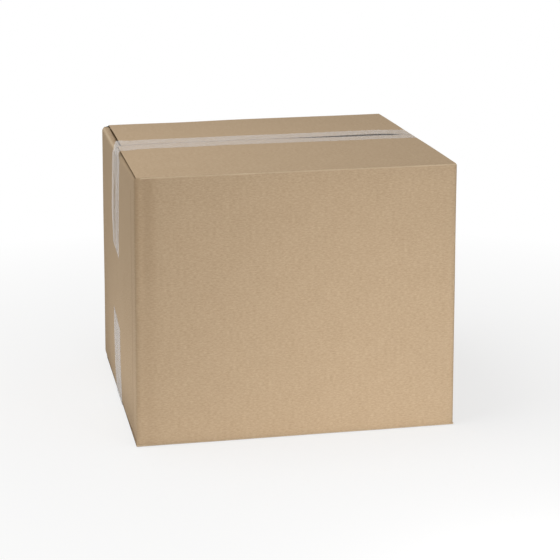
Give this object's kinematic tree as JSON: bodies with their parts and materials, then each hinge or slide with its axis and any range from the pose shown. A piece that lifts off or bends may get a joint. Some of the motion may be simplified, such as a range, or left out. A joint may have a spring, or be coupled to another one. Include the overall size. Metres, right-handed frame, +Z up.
{
  "type": "closed cardboard box",
  "caption": "Brown corrugated shipping carton, folded from a slotted sheet and taped shut with clear tape over the top and the bottom seam.",
  "frame": {"origin": "middle of the underside, on the surface that the box stands on", "axes": "+Z up, X along the taped seam, -Y out of the front panel beside the glue tab; the glue tab is at the -X end"},
  "size_m": [0.3001, 0.296, 0.2542],
  "materials": {
    "kraft_board": "matte kraft liner",
    "clear_tape": "clear gloss film"
  },
  "bodies": {
    "root": {"carton": "kraft_board", "top_tape": "clear_tape", "bottom_tape": "clear_tape"}
  },
  "joints": []
}
